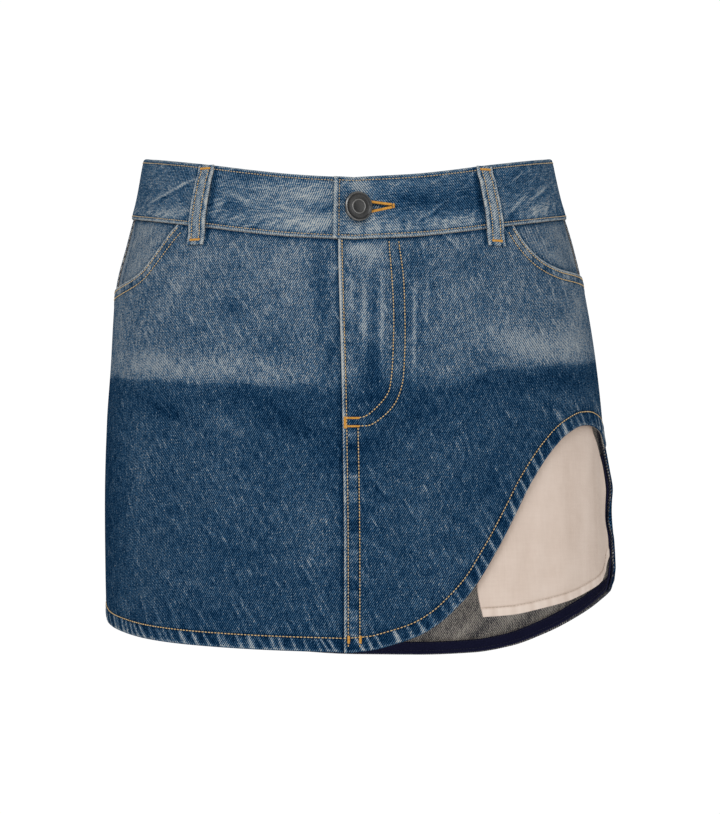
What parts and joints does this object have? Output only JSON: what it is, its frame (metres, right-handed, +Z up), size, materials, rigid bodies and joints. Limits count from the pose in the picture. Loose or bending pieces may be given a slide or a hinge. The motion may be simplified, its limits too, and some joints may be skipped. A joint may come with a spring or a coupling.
{
  "type": "denim mini skirt",
  "caption": "Short hollow denim skirt as worn, with a buttoned waistband, scooped front pockets and an arch cut out over one thigh.",
  "frame": {"origin": "middle of the waist opening, level with the top of the waistband at the sides", "axes": "+Z up, the front faces -Y, +X is the wearer's left"},
  "size_m": [0.3567, 0.2466, 0.3488],
  "materials": {
    "denim": "washed indigo twill, matt",
    "denim_faded": "faded indigo twill, matt",
    "cotton": "plain cream cotton, matt",
    "tape": "navy twill tape, matt",
    "button_metal": "dark gunmetal, satin"
  },
  "bodies": {
    "root": {"waistband": "denim_faded", "front_panel_right": "denim", "front_panel_left": "denim", "back_panel_left": "denim", "back_panel_right": "denim", "pocket_facing_left": "denim_faded", "pocket_facing_right": "denim_faded", "pocket_bag_left": "cotton", "pocket_bag_right": "cotton", "hem_tape": "tape", "edge_tape": "tape", "button": "button_metal", "belt_loop_front_right": "denim_faded", "belt_loop_front_left": "denim_faded", "belt_loop_back_left": "denim_faded", "belt_loop_back_centre": "denim_faded", "belt_loop_back_right": "denim_faded"}
  },
  "joints": []
}
